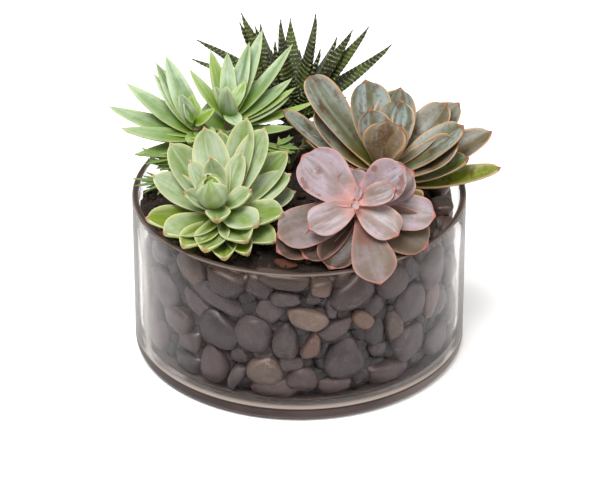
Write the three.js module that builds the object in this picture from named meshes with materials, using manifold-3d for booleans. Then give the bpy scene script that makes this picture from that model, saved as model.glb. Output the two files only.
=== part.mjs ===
// A succulent garden in a clear glass bowl: river pebbles stand against the glass round a core of potting
// soil, and three rosettes, two blue-leaved heads, a zebra haworthia and two small sedums grow from it.
// Millimetres, +Z up. The origin is the middle of the bowl's flat underside, and -Y is the front.
import * as THREE from "three";
import { mergeVertices } from "three/addons/utils/BufferGeometryUtils.js";
import Module from "manifold-3d";

const wasm = await Module();
wasm.setup();

// ---- Driving dimensions ----
const BOWL_RADIUS = 101.6; // an 8 inch cylinder
const BOWL_HEIGHT = 101.6; // 4 inches tall
const GLASS_WALL = 4;
const GLASS_FLOOR = 10;
const TOUCH_GAP = 0.3; // between pieces that touch
const PEBBLE_THICKNESS = 12; // a usual one, standing on edge against the glass
const SOIL_CORE_RADIUS = 66; // the soil column inside the ring of pebbles
const SOIL_EDGE_HEIGHT = 88; // where the soil meets the glass
const SOIL_CROWN = 13; // how much higher the middle lies
const MOUND = { x: -2, y: 62, spread: 24, height: 15 }; // the haworthia's root ball
const PLANTING_DEPTH = 9; // how far a stalk goes into the soil
const STALK_SIDES = 8;
const TWIG_SIDES = 5;

const INSIDE_RADIUS = BOWL_RADIUS - GLASS_WALL;
const PEBBLE_FACE_RADIUS = INSIDE_RADIUS - 2 * TOUCH_GAP;
const BED_FLOOR = GLASS_FLOOR + TOUCH_GAP;
const BED_CORE_RADIUS = PEBBLE_FACE_RADIUS - 0.55 * PEBBLE_THICKNESS;
const SOIL_BOTTOM = GLASS_FLOOR + PEBBLE_THICKNESS;
const SOIL_LEDGE = SOIL_EDGE_HEIGHT - 4; // the underside of the soil that lies over the pebbles

// ---- Solids and meshes ----
const degrees = (angle) => (angle * Math.PI) / 180;

function solidFrom(geometry) {
  const bare = geometry.index ? geometry.toNonIndexed() : geometry.clone();
  const merged = mergeVertices(
    new THREE.BufferGeometry().setAttribute("position", bare.getAttribute("position")),
    1e-3,
  );
  return new wasm.Manifold(
    new wasm.Mesh({
      numProp: 3,
      vertProperties: merged.attributes.position.array,
      triVerts: new Uint32Array(merged.index.array),
    }),
  );
}

// Joins solids, and drops any loose scrap that the joining leaves.
function joined(solids) {
  return largest(wasm.Manifold.union(solids));
}

function largest(solid) {
  return solid.decompose().reduce((a, b) => (a.volume() > b.volume() ? a : b));
}

function meshOf(name, solid, material) {
  const made = solid.getMesh();
  const geometry = new THREE.BufferGeometry()
    .setAttribute("position", new THREE.BufferAttribute(made.vertProperties, 3))
    .setIndex(new THREE.BufferAttribute(made.triVerts, 1));
  geometry.computeVertexNormals();
  const mesh = new THREE.Mesh(geometry, material);
  mesh.name = name;
  return mesh;
}

// A loft through rings of points, each ring with the same number, closed by a fan at both ends.
function loft(rings, start, end) {
  const sides = rings[0].length;
  const startIndex = rings.length * sides;
  const endIndex = startIndex + 1;
  const faces = [];
  for (let ring = 0; ring < rings.length; ring++) {
    for (let side = 0; side < sides; side++) {
      const here = ring * sides + side;
      const next = ring * sides + ((side + 1) % sides);
      if (ring === 0) faces.push(startIndex, here, next);
      if (ring === rings.length - 1) faces.push(here, endIndex, next);
      else faces.push(here, next + sides, next, here, here + sides, next + sides);
    }
  }
  return new THREE.BufferGeometry().setFromPoints([...rings.flat(), start, end]).setIndex(faces);
}

// A number from 0 to 1 that is the same on every run.
function drawing(seed) {
  let state = seed;
  return () => {
    state = (state * 1664525 + 1013904223) % 4294967296;
    return state / 4294967296;
  };
}

function finish(color, roughness, more = {}) {
  return new THREE.MeshStandardMaterial({ color, roughness, metalness: 0, ...more });
}

// ---- Leaves ----
// How broad a leaf is at the share t of its length: a neck at the root, then a swell that peaks at `peak`
// and closes at the tip, round for a small `point` and sharp for a large one.
function breadth(t, { neck, peak, point }) {
  const rise = (point * peak) / (1 - peak);
  const swell = (t / peak) ** rise * ((1 - t) / (1 - peak)) ** point;
  return neck * (1 - t) + (1 - neck * (1 - peak)) * swell;
}

// Each point of a section: its place across the leaf, its share of the hollow's lift, its share of the depth.
const KEELED = [
  [-1, 1, 0.15],
  [0, 0, 0],
  [1, 1, 0.15],
  [0, 0, 1],
];
const ROUNDED_BACK = [
  [-1, 1, 0.15],
  [0, 0, 0],
  [1, 1, 0.15],
  [0.55, 0.3, 0.9],
  [-0.55, 0.3, 0.9],
];

const LONG_LEAF = [0, 0.33, 0.64, 0.9];
const SHORT_LEAF = [0, 0.45, 0.88];
const BANDED_LEAF = [0, 0.24, 0.46, 0.67, 0.86];

// A leaf grows from its root along an azimuth and a pitch. Its upper face is hollowed, its back is keeled,
// and bands, if it has them, swell it at every other station.
function leaf(root, [azimuth, pitch, length, width, curl = 0, roll = 0], form) {
  const out = new THREE.Vector3(Math.cos(degrees(azimuth)), Math.sin(degrees(azimuth)), 0);
  const rising = (angle) =>
    out.clone().multiplyScalar(Math.cos(degrees(angle))).setZ(Math.sin(degrees(angle)));
  const tip = root.clone().addScaledVector(rising(pitch), length);
  const middle = root.clone().addScaledVector(rising(pitch - curl), length / 2);
  const rib = new THREE.QuadraticBezierCurve3(root, middle, tip);
  const across = new THREE.Vector3(-out.y, out.x, 0);
  const stations = form.stations ?? (length > 45 ? LONG_LEAF : SHORT_LEAF);
  const rings = stations.map((t, index) => {
    const along = rib.getTangent(t);
    const side = across.clone().applyAxisAngle(along, degrees(roll));
    const up = new THREE.Vector3().crossVectors(along, side);
    const band = 1 + (index % 2 ? 1 : -1) * (form.bands ?? 0);
    const half = (width / 2) * breadth(t, form) * band;
    const thick = form.thick * (1 - form.taper * t) * band;
    return form.section.map(([x, hollow, depth]) =>
      rib
        .getPoint(t)
        .addScaledVector(side, x * half)
        .addScaledVector(up, form.cup * half * hollow - thick * depth),
    );
  });
  const end = tip.clone().addScaledVector(rib.getTangent(1), form.spike);
  return loft(rings, root, end);
}

const GREEN_FORM = {
  neck: 0.36, peak: 0.66, point: 0.55, thick: 4.4, taper: 0.4, cup: 0.3, spike: 1.5, section: KEELED,
};
const PINK_FORM = {
  neck: 0.26, peak: 0.7, point: 0.45, thick: 3.6, taper: 0.35, cup: 0.22, spike: 1.5, section: KEELED,
};
const GREY_FORM = {
  neck: 0.32, peak: 0.66, point: 0.6, thick: 4.2, taper: 0.4, cup: 0.36, spike: 2, section: KEELED,
};
const BLUE_FORM = {
  neck: 0.5, peak: 0.5, point: 0.85, thick: 4, taper: 0.5, cup: 0.2, spike: 1, section: KEELED,
};
const ZEBRA_FORM = {
  neck: 1, peak: 0.4, point: 1.1, thick: 6, taper: 0.75, cup: 0.1, spike: 1, bands: 0.07,
  section: ROUNDED_BACK, stations: BANDED_LEAF,
};
const SEDUM_FORM = {
  neck: 0.5, peak: 0.5, point: 0.8, thick: 1.4, taper: 0.4, cup: 0.1, spike: 0.5,
  section: KEELED, stations: [0, 0.55],
};

// ---- Plants ----
// `base` is where the lowest leaves grow. The plant leans by its first angle towards its second, an azimuth.
// Leaves are [azimuth, pitch, length, width, curl, roll] about the leaning axis, the outermost first, and
// their roots climb by `rise` along it.
const GREEN = {
  name: "green_echeveria", base: [-45, -38, 101], lean: [24, -105], rise: 15, stem: 5.5, form: GREEN_FORM,
  color: 0xa9bf86,
  leaves: [
    [62, 2, 40, 18, 14],
    [115, 4, 40, 18, 14],
    [89, 22, 55, 18, 18],
    [-168, 24, 48, 20, 18],
    [-123, 29, 45, 18, 12],
    [-87, 20, 42, 17, 18],
    [-67, 18, 42, 15, 18],
    [-42, 15, 44, 18, 18],
    [18, 0, 45, 18, 18],
    [40, 14, 54, 20, 18],
    [-144, 26, 44, 21, 20],
    [-104, 23, 40, 20, 20],
    [-64, 23, 38, 20, 20],
    [-20, 20, 42, 20, 20],
    [126, 24, 52, 21, 20],
    [69, 27, 58, 18, 20],
    [152, 17, 46, 20, 20],
    [26, 5, 46, 20, 20],
    [-43, 21, 32, 19, 20],
    [56, 22, 55, 20, 20],
    [99, 28, 50, 22, 20],
    [123, 28, 34, 13, 20],
    [64, 25, 35, 14, 20],
    [170, 34, 24, 12, 20],
    [12, 26, 21, 13, 20],
    [99, 50, 30, 14, 20],
    [-97, 30, 14, 11, 16],
  ],
  bud: { at: [-4, 3, 27], size: [18, 17, 27] },
};

const PINK = {
  name: "pink_echeveria", base: [34, -50, 115], lean: [38, -90], rise: 16, stem: 5, form: PINK_FORM,
  color: 0xb9a3a6,
  leaves: [
    [72, -16, 32, 22, 6],
    [122, -14, 34, 22, 6],
    [-150, 1, 53, 26, 12],
    [-135, 1, 43, 22, 12],
    [-113, -1, 40, 24, 8],
    [-31, 3, 47, 28, -8],
    [-158, 0, 49, 27, 12],
    [-10, 7, 46, 24, 12],
    [100, 10, 22, 20, 12],
    [31, 5, 38, 26, 12],
    [-76, 12, 57, 27, -16],
    [138, 8, 42, 31, 12],
    [-149, 5, 32, 21, 12],
    [-43, 3, 28, 19, 12],
    [31, 22, 34, 26, 12],
    [12, 24, 24, 15, 12],
    [80, 55, 9, 7, 9],
    [-100, 50, 8, 6, 9],
  ],
};

const GREY = {
  name: "grey_echeveria", base: [50, 2, 102], lean: [8, -60], rise: 16, stem: 6, form: GREY_FORM,
  color: 0x8f9a92,
  leaves: [
    [88, 8, 48, 20, 12],
    [55, 8, 50, 20, 12],
    [122, 8, 46, 20, 12],
    [-52, 10, 34, 20, 12],
    [-92, 12, 36, 22, 12],
    [-135, 12, 36, 20, 12],
    [-4, 18, 73, 19, 16, 10],
    [152, 19, 73, 15, 11],
    [156, 14, 53, 13, 11],
    [-1, 21, 53, 19, 16, 10],
    [18, 19, 71, 22, 16, 8],
    [145, 26, 57, 24, 14, -8],
    [2, 31, 50, 26, 16, 15],
    [39, 28, 64, 24, 16, 5],
    [10, 35, 56, 24, 16, 8],
    [139, 31, 74, 24, 14, -5],
    [78, 41, 52, 26, 16],
    [40, 32, 56, 24, 16, 5],
    [109, 42, 55, 27, 16],
    [74, 41, 43, 24, 16],
    [-88, 104, 30, 28, 34],
    [113, 43, 35, 22, 16],
    [-150, 108, 28, 20, 34],
  ],
};

const BLUE_LEFT = {
  name: "blue_succulent_left", base: [-61, 28, 121], lean: [20, -120], rise: 16, stem: 4, form: BLUE_FORM,
  color: 0x93b08c,
  leaves: [
    [150, -4, 30, 12, 10],
    [112, -4, 34, 13, 10],
    [76, 2, 30, 12, 10],
    [-175, 24, 48, 14, 14],
    [-84, 40, 18, 11, 14],
    [162, 17, 57, 15, 14],
    [145, 25, 53, 15, 14],
    [-104, 24, 18, 11, 14],
    [-46, 32, 18, 12, 14],
    [127, 32, 43, 12, 14],
    [120, 33, 47, 13, 14],
    [110, 35, 47, 16, 14],
    [93, 32, 19, 12, 14],
    [10, 30, 16, 11, 12],
    [-60, 90, 19, 11, 22],
    [150, 75, 15, 9, 14],
  ],
};

const BLUE_RIGHT = {
  name: "blue_succulent_right", base: [-43, 36, 124], lean: [14, -90], rise: 18, stem: 4, form: BLUE_FORM,
  color: 0x9ab893,
  leaves: [
    [105, -6, 34, 13, 10],
    [74, -4, 36, 13, 10],
    [44, -2, 32, 12, 10],
    [16, 6, 57, 9, 14],
    [22, 11, 40, 14, 14],
    [25, 14, 46, 11, 14],
    [32, 16, 47, 13, 14],
    [45, 26, 61, 12, 14],
    [133, 25, 39, 11, 14],
    [65, 34, 58, 14, 14],
    [109, 34, 42, 13, 14],
    [71, 35, 46, 14, 14],
    [92, 38, 37, 13, 14],
    [-96, 20, 19, 15, 14],
    [57, 28, 21, 11, 14],
    [160, 60, 18, 10, 14],
    [-100, 92, 26, 14, 25],
  ],
};

const ZEBRA = {
  name: "zebra_haworthia", base: [-4, 72, 112], lean: [8, 90], rise: 10, stem: 6, form: ZEBRA_FORM,
  color: 0x3d4a22,
  leaves: [
    [62, 10, 42, 15, 8],
    [92, 6, 40, 15, 8],
    [122, 10, 42, 15, 8],
    [-160, 24, 30, 14, 8],
    [-24, 26, 40, 15, 8],
    [-62, 50, 34, 14, 8],
    [-118, 48, 36, 14, 8],
    [-90, 66, 36, 14, 8],
    [151, 28, 78, 15, -14],
    [158, 21, 73, 14, -10],
    [20, 29, 75, 19, 8],
    [28, 41, 71, 17, 8],
    [139, 52, 69, 17, 8],
    [142, 49, 64, 16, 8],
    [32, 45, 62, 17, 8],
    [176, 70, 58, 22, 8],
    [4, 59, 53, 16, 8],
    [18, 76, 61, 16, 8],
    [132, 51, 56, 16, 8],
    [93, 57, 56, 14, 8],
    [148, 81, 55, 14, 8],
    [-2, 65, 40, 15, 8],
    [178, 75, 42, 15, 8],
    [78, 52, 35, 14, 8],
  ],
};

// Sedum sprigs: thin shoots that bear small leaves. Each shoot runs from the sprig's base to its tip.
const SEDUM_RIM = {
  name: "sedum_sprig_rim", base: [-74, 12], stem: 1.4, form: SEDUM_FORM, color: 0x5f8a45,
  shoots: [
    {
      tip: [-80, 10, 119],
      leaves: [[-172, 8, 20, 3.4], [168, 22, 18, 3.4], [-150, 20, 15, 3], [120, 30, 15, 3]],
    },
    {
      tip: [-84, 6, 104],
      leaves: [[180, 6, 17, 3], [-160, 2, 18, 3], [-140, -4, 17, 3], [150, 10, 16, 3]],
    },
  ],
};
const SEDUM_MIDDLE = {
  name: "sedum_sprig_middle", base: [-6, 24], stem: 2, form: SEDUM_FORM, color: 0x6f9a4c,
  shoots: [
    {
      tip: [4, 28, 119],
      leaves: [[60, 50, 6, 3], [-50, 30, 6, 3], [170, 40, 6, 3]],
    },
    {
      tip: [-13, 22, 121],
      leaves: [
        [30, 10, 11, 5], [-20, 0, 13, 5], [-60, 8, 13, 5], [160, 10, 13, 5],
        [-140, 0, 14, 5], [-90, -10, 12, 5], [65, 40, 12, 4], [110, 35, 12, 4],
      ],
    },
  ],
};

function standing({ base, lean: [tilt, toward] }) {
  const hinge = new THREE.Vector3(-Math.sin(degrees(toward)), Math.cos(degrees(toward)), 0);
  return new THREE.Matrix4().makeRotationAxis(hinge, degrees(tilt)).setPosition(...base);
}

// A ring of points round a stalk, in the order that the loft wants.
function ringAbout(centre, radius, sides) {
  return Array.from({ length: sides }, (_, k) => {
    const turn = (-2 * Math.PI * k) / sides;
    return new THREE.Vector3(Math.cos(turn), Math.sin(turn), 0).multiplyScalar(radius).add(centre);
  });
}

// A stalk goes straight up through its centres, tapering to its last radius.
function stalk(centres, radius, topRadius, sides = STALK_SIDES) {
  const last = centres.length - 1;
  const rings = centres.map((centre, k) =>
    ringAbout(centre, radius + ((topRadius - radius) * k) / last, sides),
  );
  const end = centres[last].clone().add(new THREE.Vector3(0, 0, 0.5 * topRadius));
  return solidFrom(loft(rings, centres[0], end));
}

function rosette(plant) {
  const frame = standing(plant);
  const parts = plant.leaves.map((row, index) => {
    const root = new THREE.Vector3(0, 0, (plant.rise * index) / (plant.leaves.length - 1));
    return solidFrom(leaf(root, row, plant.form).applyMatrix4(frame));
  });
  const [x, y, z] = plant.base;
  const foot = new THREE.Vector3(x, y, soilTop(x, y) - PLANTING_DEPTH);
  const crown = new THREE.Vector3(0, 0, plant.rise).applyMatrix4(frame);
  parts.push(stalk([foot, new THREE.Vector3(x, y, z), crown], plant.stem, 0.7 * plant.stem));
  if (plant.bud) {
    const { at, size } = plant.bud;
    const egg = new THREE.OctahedronGeometry(0.5, 1).scale(...size).translate(...at);
    parts.push(solidFrom(egg.applyMatrix4(frame)));
  }
  return joined(parts);
}

function sprig({ base: [x, y], stem, form, shoots }) {
  const foot = new THREE.Vector3(x, y, soilTop(x, y) - PLANTING_DEPTH);
  const solids = shoots.flatMap(({ tip, leaves }) => {
    const top = new THREE.Vector3(...tip);
    const elbow = foot.clone().setZ(foot.z + PLANTING_DEPTH + 3);
    const twig = stalk([foot, elbow, top], stem, 0.7 * stem, TWIG_SIDES);
    const blades = leaves.map((row, index) => {
      const root = elbow.clone().lerp(top, 1 - 0.6 * (index / leaves.length));
      return solidFrom(leaf(root, row, form));
    });
    return [twig, ...blades];
  });
  return joined(solids);
}

// ---- Soil ----
// The height of the soil's lumpy top: a low dome with the haworthia's root ball on it.
function soilTop(x, y) {
  const dome = SOIL_EDGE_HEIGHT + SOIL_CROWN * (1 - (x * x + y * y) / INSIDE_RADIUS ** 2);
  const away = (x - MOUND.x) ** 2 + (y - MOUND.y) ** 2;
  const mound = MOUND.height * Math.exp(-away / (2 * MOUND.spread ** 2));
  const lumps = 1.2 * Math.sin(0.31 * x + 1.3) * Math.cos(0.27 * y) + 0.8 * Math.sin(0.13 * x - 0.41 * y + 2);
  return dome + mound + lumps;
}

// How far the soil spreads over the pebbles: furthest at the left, least at the right.
function soilReach(x, y) {
  const turn = Math.atan2(y, x);
  return 86 - 5 * Math.cos(turn) + 2 * Math.sin(turn) + 0.8 * Math.sin(5 * turn);
}

// The soil as one solid: a column inside the pebbles, and a dome that spreads over them.
function soilSolid(grown = 0) {
  const rows = [
    [0, SOIL_BOTTOM - grown],
    [SOIL_CORE_RADIUS + grown, SOIL_BOTTOM - grown],
    [SOIL_CORE_RADIUS + grown, SOIL_LEDGE - grown],
    [1, SOIL_LEDGE - grown],
    [1, null],
    [0.86, null],
    [0.68, null],
    [0.45, null],
    [0.22, null],
    [0, null],
  ];
  const profile = rows.map(([r, z], k) => new THREE.Vector2(r > 1 || k === 0 ? r : 100 * r, z ?? 200 - k));
  const geometry = new THREE.LatheGeometry(profile, 30).rotateX(Math.PI / 2);
  const place = geometry.getAttribute("position");
  for (let k = 0; k < place.count; k++) {
    const [x, y, z] = [place.getX(k), place.getY(k), place.getZ(k)];
    const radius = Math.hypot(x, y);
    const spreads = z > 150 || radius > 90;
    const scale = spreads && radius > 0 ? (soilReach(x, y) + grown) / 100 : 1;
    place.setX(k, x * scale);
    place.setY(k, y * scale);
    if (z > 150) place.setZ(k, soilTop(x * scale, y * scale) + grown);
  }
  return solidFrom(geometry);
}

// ---- Pebbles ----
// Each is [turn, height, width, tall, thickness, tilt, inset]: degrees round from the front, towards the
// right, the height of its middle, its face's width and height, its thickness, how far the face is turned
// in its own plane, and how far it lies back from the glass.
const FRONT_GREY = [
  [-79, 68, 24, 19, 12, 10, 0],
  [-62, 83, 22, 17, 11, 20, 0],
  [-60, 60, 34, 20, 13, -38, 0],
  [-51, 45, 24, 18, 12, 0, 0],
  [-71, 37, 20, 27, 12, 0, 0],
  [-66, 22, 22, 22, 12, 10, 0],
  [-28, 83, 25, 19, 13, -8, 0],
  [-33, 72, 42, 15, 11, -20, 3],
  [-42, 62, 24, 12, 11, -30, 3],
  [-31, 50, 30, 24, 13, -20, 0],
  [-17, 53, 24, 25, 13, -30, 0],
  [-46, 34, 20, 17, 11, 0, 2],
  [-33, 25, 20, 27, 13, -15, 0],
  [-9, 17, 30, 13, 11, 0, 1],
  [-47, 17, 24, 14, 12, 0, 2],
  [-23, 36, 13, 11, 9, 0, 3],
  [-11, 70, 17, 16, 11, -30, 3],
  [-15, 85, 18, 16, 11, -20, 3],
  [-5, 80, 18, 10, 9, 0, 0],
  [-6, 92, 33, 11, 11, -8, 0],
  [-5, 50, 16, 26, 13, 0, 0],
  [-3, 34, 16, 12, 10, 0, 3],
  [20, 79, 30, 19, 13, 30, 0],
  [37, 80, 23, 20, 12, 10, 0],
  [14, 57, 23, 11, 11, 25, 2],
  [29, 49, 15, 19, 11, 0, 3],
  [46, 60, 26, 26, 13, 0, 0],
  [60, 74, 28, 25, 13, 15, 0],
  [17, 36, 26, 29, 14, 5, 0],
  [45, 33, 25, 24, 13, 10, 0],
  [35, 19, 30, 15, 12, -5, 0],
  [1, 24, 20, 16, 11, 0, 0],
  [13, 18, 22, 11, 11, 0, 2],
  [24, 20, 14, 13, 11, 0, 3],
  [67, 44, 20, 22, 12, 20, 2],
  [63, 22, 26, 18, 12, 20, 0],
  [78, 30, 20, 26, 12, -20, 0],
  [29, 66, 17, 12, 10, 35, 4],
  [77, 60, 22, 20, 12, 0, 0],
  [79, 83, 23, 16, 11, 0, 0],
  [-79, 52, 22, 17, 12, 0, 2],
  [-82, 22, 26, 18, 12, 0, 0],
];
const FRONT_TAN = [
  [-43, 86, 25, 18, 12, -38, 0],
  [-13, 28, 23, 20, 12, 8, 0],
  [3, 66, 26, 13, 11, -20, 0],
  [5, 47, 11, 20, 10, -22, 2],
  [8, 86, 14, 11, 10, 0, 1],
  [24, 61, 15, 10, 10, -40, 0],
  [38, 50, 12, 22, 10, 15, 1],
  [59, 52, 16, 24, 11, -20, 2],
];
// Tan pebbles that lie loose on the bed at the right: their middles, sizes and turns.
const TOP_TAN = [
  { at: [87, -3, 91.5], size: [13, 17, 9], turn: 10 },
  { at: [86, 17, 92], size: [11, 14, 8], turn: -25 },
];

// The rows of pebbles that stand against the glass at the sides and the back.
const BACK_ROWS = [21, 41, 61, 81];
const BACK_STEP = 22;
const HAND_PLACED_TO = 84; // degrees each way from the front
const FLOOR_RINGS = [
  { radius: 17, count: 2 },
  { radius: 45, count: 6 },
  { radius: 70, count: 10 },
];

function backPebbles() {
  const draw = drawing(7);
  const around = (spread) => (draw() - 0.5) * 2 * spread;
  const rows = [];
  BACK_ROWS.forEach((height, level) => {
    const first = HAND_PLACED_TO + 10 + (level % 2) * 0.5 * BACK_STEP;
    for (let turn = first; turn < 360 - HAND_PLACED_TO - 2; turn += BACK_STEP) {
      rows.push([
        turn + around(3), height + around(2), 30 + around(4), 22 + around(3),
        PEBBLE_THICKNESS + around(1.5), around(35), 1 + around(1),
      ]);
    }
  });
  return rows;
}

// The low-sided balls that pebbles are flattened from: one for the front, a plainer one for the rest.
const frontBall = () => new THREE.OctahedronGeometry(1, 1);
const backBall = () => new THREE.IcosahedronGeometry(1, 0);

// One standing pebble. `grown` makes it larger all round, to cut room for it.
function pebble([turn, height, width, tall, thickness, tilt, inset], grown = 0, ball = frontBall) {
  const lowest = BED_FLOOR + tall / 2 + 0.3;
  return solidFrom(
    ball()
      .scale(width / 2 + grown, thickness / 2 + grown, tall / 2 + grown)
      .rotateY(degrees(-tilt))
      .translate(0, -(PEBBLE_FACE_RADIUS - thickness / 2 - inset), Math.max(height, lowest))
      .rotateZ(degrees(turn)),
  );
}

function loosePebble({ at, size, turn }, grown = 0) {
  return solidFrom(
    frontBall()
      .scale(...size.map((extent) => extent / 2 + grown))
      .rotateZ(degrees(turn))
      .translate(...at),
  );
}

function floorPebbles() {
  const draw = drawing(19);
  return FLOOR_RINGS.flatMap(({ radius, count }) =>
    Array.from({ length: count }, (_, k) => {
      const size = [15 + 2 * draw(), 11.5 + 2 * draw(), PEBBLE_THICKNESS / 2];
      return solidFrom(
        backBall()
          .scale(...size)
          .rotateZ(Math.PI * draw())
          .translate(radius, 0, BED_FLOOR + size[2])
          .rotateZ((2 * Math.PI * (k + 0.4 * draw())) / count),
      );
    }),
  );
}

// The bed: a cup of packed stones, its outer pebbles and its floor standing out of a lathed core.
function bedSolid() {
  const core = [
    [0, BED_FLOOR + 4.5],
    [BED_CORE_RADIUS - 4, BED_FLOOR + 4.5],
    [BED_CORE_RADIUS, BED_FLOOR + 8.5],
    [BED_CORE_RADIUS, SOIL_LEDGE - TOUCH_GAP],
    [0, SOIL_LEDGE - TOUCH_GAP],
  ].map(([r, z]) => new THREE.Vector2(r, z));
  const coreSolid = solidFrom(new THREE.LatheGeometry(core, 24).rotateX(Math.PI / 2));
  const front = FRONT_GREY.map((row) => pebble(row));
  const back = backPebbles().map((row) => pebble(row, 0, backBall));
  const packed = wasm.Manifold.union([coreSolid, ...front, ...back, ...floorPebbles()]);
  const room = [
    soilSolid(TOUCH_GAP),
    ...FRONT_TAN.map((row) => pebble(row, TOUCH_GAP)),
    ...TOP_TAN.map((stone) => loosePebble(stone, TOUCH_GAP)),
  ];
  return largest(packed.subtract(wasm.Manifold.union(room)));
}

// ---- Glass bowl ----
function bowlSolid() {
  const profile = [
    [0, 0],
    [BOWL_RADIUS - 3, 0],
    [BOWL_RADIUS, 3],
    [BOWL_RADIUS, BOWL_HEIGHT - 1.2],
    [BOWL_RADIUS - 1.2, BOWL_HEIGHT],
    [INSIDE_RADIUS + 1.2, BOWL_HEIGHT],
    [INSIDE_RADIUS, BOWL_HEIGHT - 1.2],
    [INSIDE_RADIUS, GLASS_FLOOR + 1],
    [INSIDE_RADIUS - 1, GLASS_FLOOR],
    [0, GLASS_FLOOR],
  ].map(([r, z]) => new THREE.Vector2(r, z));
  return solidFrom(new THREE.LatheGeometry(profile, 60).rotateX(Math.PI / 2));
}

// ---- The whole garden ----
const garden = new THREE.Group();
const glass = finish(0xdfe3e2, 0.03, { transparent: true, opacity: 0.3 });
garden.add(meshOf("glass_bowl", bowlSolid(), glass));
garden.add(meshOf("pebbles_grey", bedSolid(), finish(0x5d5853, 0.6)));
const tan = finish(0x8f7a66, 0.6);
FRONT_TAN.forEach((row, k) => garden.add(meshOf(`pebble_tan_${k + 1}`, pebble(row), tan)));
TOP_TAN.forEach((stone, k) => garden.add(meshOf(`pebble_top_${k + 1}`, loosePebble(stone), tan)));

const rosettes = [GREEN, PINK, GREY, BLUE_LEFT, BLUE_RIGHT, ZEBRA];
const sprigs = [SEDUM_RIM, SEDUM_MIDDLE];
for (const plant of rosettes) garden.add(meshOf(plant.name, rosette(plant), finish(plant.color, 0.5)));
for (const plant of sprigs) garden.add(meshOf(plant.name, sprig(plant), finish(plant.color, 0.5)));

// The soil keeps a plain hole for each stalk, and room for the tan pebbles that lie against it.
const holes = [...rosettes, ...sprigs].map(({ base: [x, y], stem }) => {
  const bottom = soilTop(x, y) - PLANTING_DEPTH - TOUCH_GAP;
  const hole = new THREE.CylinderGeometry(stem + 2 * TOUCH_GAP, stem + 2 * TOUCH_GAP, 40, STALK_SIDES);
  return solidFrom(hole.rotateX(Math.PI / 2).translate(x, y, bottom + 20));
});
const tanRoom = FRONT_TAN.map((row) => pebble(row, TOUCH_GAP));
const soil = largest(soilSolid().subtract(wasm.Manifold.union([...holes, ...tanRoom])));
garden.add(meshOf("soil", soil, finish(0x33261e, 0.95)));

export default garden;
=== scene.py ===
# %% [markdown]
# # A succulent garden in a glass bowl
# A clear glass cylinder, lined with river pebbles, filled with potting soil and planted with six
# kinds of succulent. The solid model is the frame that gives every plant its place and size. This
# script puts the fine pieces over it.

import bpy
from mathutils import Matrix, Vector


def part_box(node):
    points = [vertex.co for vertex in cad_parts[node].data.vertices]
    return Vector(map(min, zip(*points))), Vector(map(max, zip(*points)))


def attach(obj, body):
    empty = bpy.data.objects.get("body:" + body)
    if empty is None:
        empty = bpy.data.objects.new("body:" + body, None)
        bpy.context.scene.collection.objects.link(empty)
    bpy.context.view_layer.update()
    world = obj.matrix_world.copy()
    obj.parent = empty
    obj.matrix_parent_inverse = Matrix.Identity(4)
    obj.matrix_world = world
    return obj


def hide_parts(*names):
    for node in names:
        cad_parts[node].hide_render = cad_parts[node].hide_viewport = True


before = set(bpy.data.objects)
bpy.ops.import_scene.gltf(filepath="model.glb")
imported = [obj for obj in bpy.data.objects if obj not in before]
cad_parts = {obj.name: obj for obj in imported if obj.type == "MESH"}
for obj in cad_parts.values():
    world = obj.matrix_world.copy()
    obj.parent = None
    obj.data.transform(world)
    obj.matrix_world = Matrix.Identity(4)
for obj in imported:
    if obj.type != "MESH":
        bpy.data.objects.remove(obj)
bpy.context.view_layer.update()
print("frame nodes:", ", ".join(sorted(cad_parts)))

# %% Libraries and units
from math import cos, exp, pi, radians, sin, sqrt

import bmesh
import bpy
import numpy as np
from mathutils import Matrix, Vector, noise

MM = 0.001
scene = bpy.context.scene

# %% [markdown]
# ## The camera and the light
# The garden is seen from a good two metres with a long lens, thirty degrees above the table, so its
# verticals stay almost upright. A white room lights it from all sides. One large lamp hangs over
# it, a little to the left and the front, and a weak one at the right opens the shadows.

# %% Camera
camera = bpy.data.objects.new("camera", bpy.data.cameras.new("camera"))
scene.collection.objects.link(camera)
aim, lift, reach = Vector((0.5, 0, 63.1)) * MM, radians(30.37), 2086.7 * MM
camera.location = aim + Vector((0, -cos(lift), sin(lift))) * reach
camera.rotation_euler = (aim - camera.location).to_track_quat("-Z", "Y").to_euler()
camera.data.sensor_width = 36
camera.data.lens = 204.07
scene.camera = camera
print("camera stands", round(reach, 3), "m away")

# %% [markdown]
# ## Finishes written as sums
# Stones, soil and leaves get their colours from noise and from numbers that the mesh carries. Made
# node by node, one such finish takes a hundred lines, so a small class turns Python's sums into
# Math nodes.


# %% A socket with arithmetic
def as_input(socket, value):
    """Puts a number, a colour or a link into an input."""
    if isinstance(value, Wire):
        socket.id_data.links.new(value.socket, socket)
    else:
        socket.default_value = value


class Wire:
    """One output of a material's nodes. Sums written with it become Math nodes."""

    def __init__(self, socket):
        self.socket = socket

    def maths(self, operation, *values):
        node = self.socket.id_data.nodes.new("ShaderNodeMath")
        node.operation = operation
        for socket, value in zip(node.inputs, values):
            as_input(socket, value)
        return Wire(node.outputs[0])

    __add__ = __radd__ = lambda self, other: self.maths("ADD", self, other)
    __mul__ = __rmul__ = lambda self, other: self.maths("MULTIPLY", self, other)
    __sub__ = lambda self, other: self.maths("SUBTRACT", self, other)
    __rsub__ = lambda self, other: self.maths("SUBTRACT", other, self)
    __truediv__ = lambda self, other: self.maths("DIVIDE", self, other)
    __pow__ = lambda self, other: self.maths("POWER", self, other)
    __abs__ = lambda self: self.maths("ABSOLUTE", self)
    wave = lambda self: self.maths("SINE", self)


# %% A finish: one material and its nodes
LIGHT = 1.47  # how much brighter than 1 a white card in the garden would be


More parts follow.
